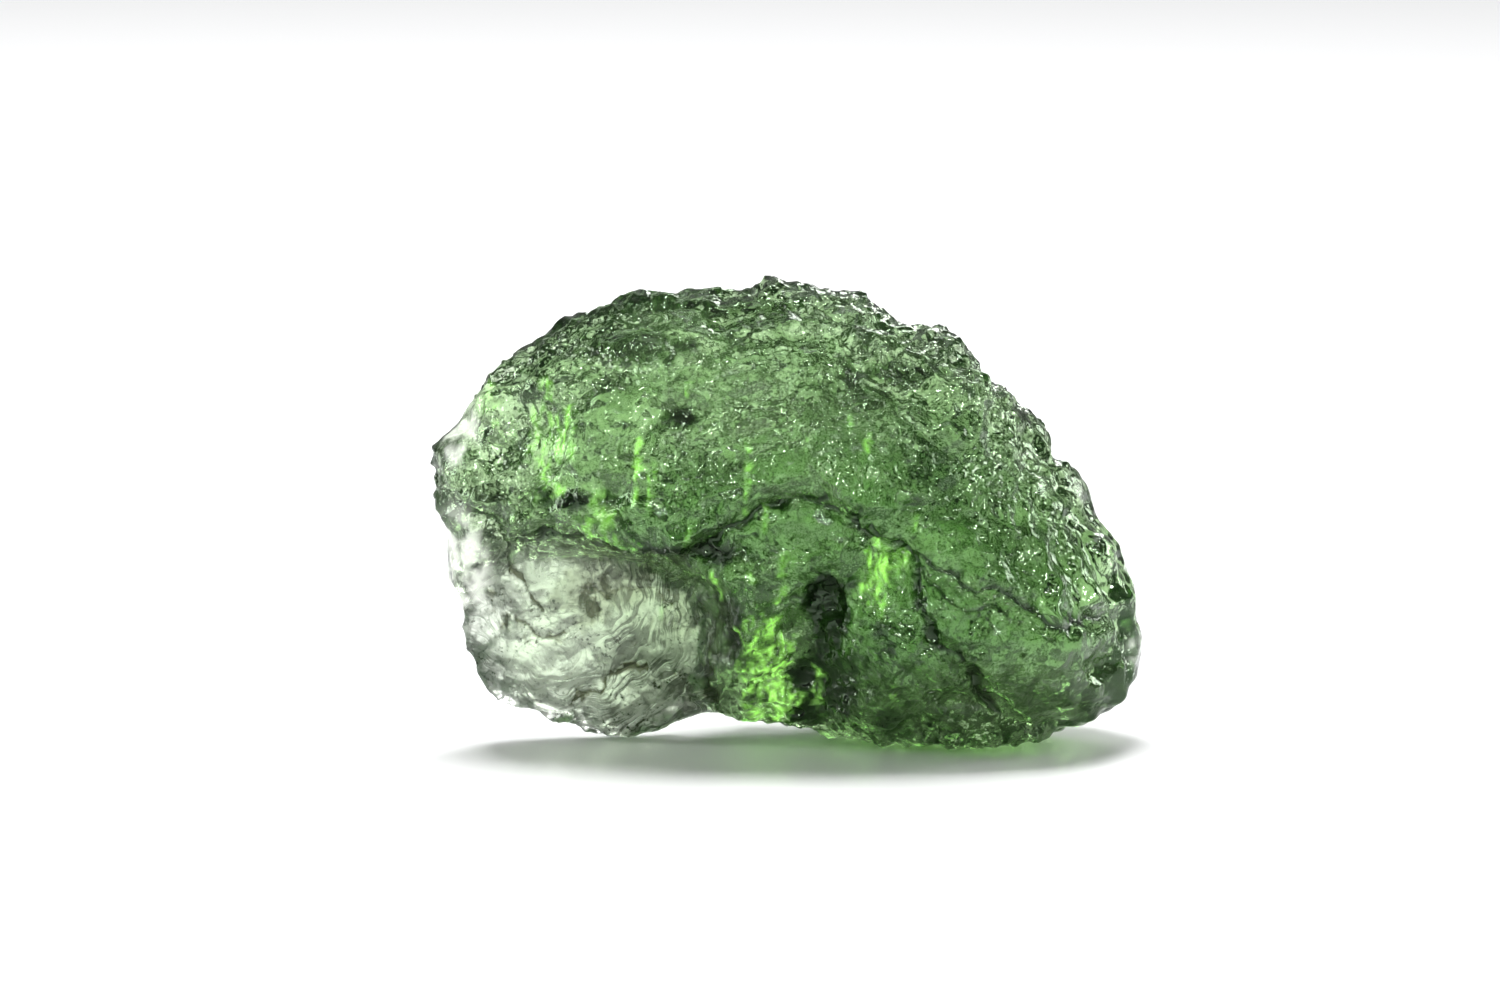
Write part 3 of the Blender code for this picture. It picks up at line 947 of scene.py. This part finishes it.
def floor_material(settings):
    """Satin white, as a painted table top."""
    material = bpy.data.materials.new("white_table")
    material.use_nodes = True
    nodes = Nodes(material.node_tree)
    colour = (*settings.floor_colour, 1.0)
    values = {"Base Color": colour, "Roughness": TABLE_ROUGHNESS, "IOR": TABLE_IOR}
    nodes.fill(material.node_tree.nodes["Principled BSDF"], values)
    return material


def soft_light(name, place, size, brightness):
    """A rectangular light of even brightness that faces the stone."""
    light = bpy.data.lights.new(name, "AREA")
    light.shape = "RECTANGLE"
    light.size, light.size_y = size
    light.energy = brightness * math.pi * size[0] * size[1]
    obj = bpy.data.objects.new(name, light)
    bpy.context.scene.collection.objects.link(obj)
    obj.location = place
    target = Vector((0.0, 0.0, cad_box[1].z / 2))
    obj.rotation_euler = (target - obj.location).to_track_quat("-Z", "Y").to_euler()
    obj.visible_camera = False
    return obj


def lights():
    """The soft lights, and the small ones that show only as glints."""
    soft_light(*TOP_LIGHT).visible_glossy = False
    for light in SIDE_LIGHTS:
        soft_light(*light)
    for place in GLINT_PLACES:
        glint = soft_light("glint_light", place, GLINT_SIZE, GLINT_BRIGHTNESS)
        glint.visible_diffuse = False
        glint.visible_transmission = False


def room():
    """A white room that is dimmer on the camera's side."""
    world = bpy.data.worlds.new("white_room")
    bpy.context.scene.world = world
    world.use_nodes = True
    nodes = Nodes(world.node_tree)
    depth = nodes.part(nodes.place("Generated"), "Y")
    values = {"Value": depth, "From Min": -1.0, "To Min": ROOM_NEAR, "To Max": ROOM_FAR}
    glow = nodes.add("ShaderNodeMapRange", None, values)
    background = world.node_tree.nodes["Background"]
    nodes.fill(background, {"Color": (1.0, 1.0, 1.0, 1.0), "Strength": glow})


def camera():
    """Stands where the photograph was taken from, and frames the stone as it does."""
    scale = (cad_box[1].x - cad_box[0].x) / STONE_SPAN
    distance = PHOTO_SIZE[0] * scale * LENS / SENSOR
    away = Vector((0.0, -math.cos(CAMERA_RISE), math.sin(CAMERA_RISE)))
    aim_x = (PHOTO_SIZE[0] / 2 - STONE_MIDDLE) * scale
    aim_z = (TABLE_LINE - PHOTO_SIZE[1] / 2) * scale / math.cos(CAMERA_RISE)
    data = bpy.data.cameras.new("camera")
    data.sensor_width = SENSOR
    data.lens = LENS
    data.clip_start = NEAREST_SEEN
    obj = bpy.data.objects.new("camera", data)
    bpy.context.scene.collection.objects.link(obj)
    obj.location = Vector((aim_x, 0.0, aim_z)) + away * distance
    obj.rotation_euler = (-away).to_track_quat("-Z", "Y").to_euler()
    bpy.context.scene.camera = obj


class MOLDAVITE_OT_stone(bpy.types.Operator):
    """Grow the stone's skin on its solid and give it its glass"""

    bl_idname = "moldavite.stone"
    bl_label = "Stone"

    def execute(self, context):
        settings = context.scene.moldavite_stone
        stone = fine_copy("moldavite", "moldavite_skin", settings.spacing)
        grow_skin(stone.data, settings.relief, settings.pits)
        thin_out(stone, settings.triangles)
        stone.data.materials.append(glass_material(settings))
        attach(stone, "root")
        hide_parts("moldavite")
        return {"FINISHED"}


class MOLDAVITE_OT_stage(bpy.types.Operator):
    """Set the white table, the lights, the room and the camera"""

    bl_idname = "moldavite.stage"
    bl_label = "Stage"

    def execute(self, context):
        settings = context.scene.moldavite_stage
        bpy.ops.mesh.primitive_plane_add(size=settings.floor_size, location=(0, 0, -TABLE_DROP))
        floor = context.object
        floor.name = "white_table"
        floor.data.materials.append(floor_material(settings))
        lights()
        room()
        camera()
        scene = context.scene
        scene.view_settings.view_transform = "Standard"
        scene.cycles.max_bounces = LIGHT_BOUNCES
        scene.cycles.transmission_bounces = LIGHT_BOUNCES
        scene.cycles.glossy_bounces = MIRROR_BOUNCES
        return {"FINISHED"}


class MOLDAVITE_PT_panel(bpy.types.Panel):
    """Shows the stone's and the stage's settings, each with its button"""

    bl_idname = "MOLDAVITE_PT_panel"
    bl_label = "Moldavite"
    bl_space_type = "VIEW_3D"
    bl_region_type = "UI"
    bl_category = "Moldavite"

    def draw(self, context):
        layout = self.layout
        for group, operator in (
            (context.scene.moldavite_stone, MOLDAVITE_OT_stone),
            (context.scene.moldavite_stage, MOLDAVITE_OT_stage),
        ):
            for name in group.__annotations__:
                layout.prop(group, name)
            layout.operator(operator.bl_idname)


CLASSES = (
    StoneSettings,
    StageSettings,
    MOLDAVITE_OT_stone,
    MOLDAVITE_OT_stage,
    MOLDAVITE_PT_panel,
)


def register():
    """Adds the settings, the operators and the panel to Blender."""
    for item in CLASSES:
        bpy.utils.register_class(item)
    bpy.types.Scene.moldavite_stone = PointerProperty(type=StoneSettings)
    bpy.types.Scene.moldavite_stage = PointerProperty(type=StageSettings)


def unregister():
    """Takes them out again."""
    del bpy.types.Scene.moldavite_stage
    del bpy.types.Scene.moldavite_stone
    for item in reversed(CLASSES):
        bpy.utils.unregister_class(item)


def main():
    """Builds the stone and its stage."""
    register()
    bpy.ops.moldavite.stone()
    bpy.ops.moldavite.stage()


if __name__ == "__main__":
    main()
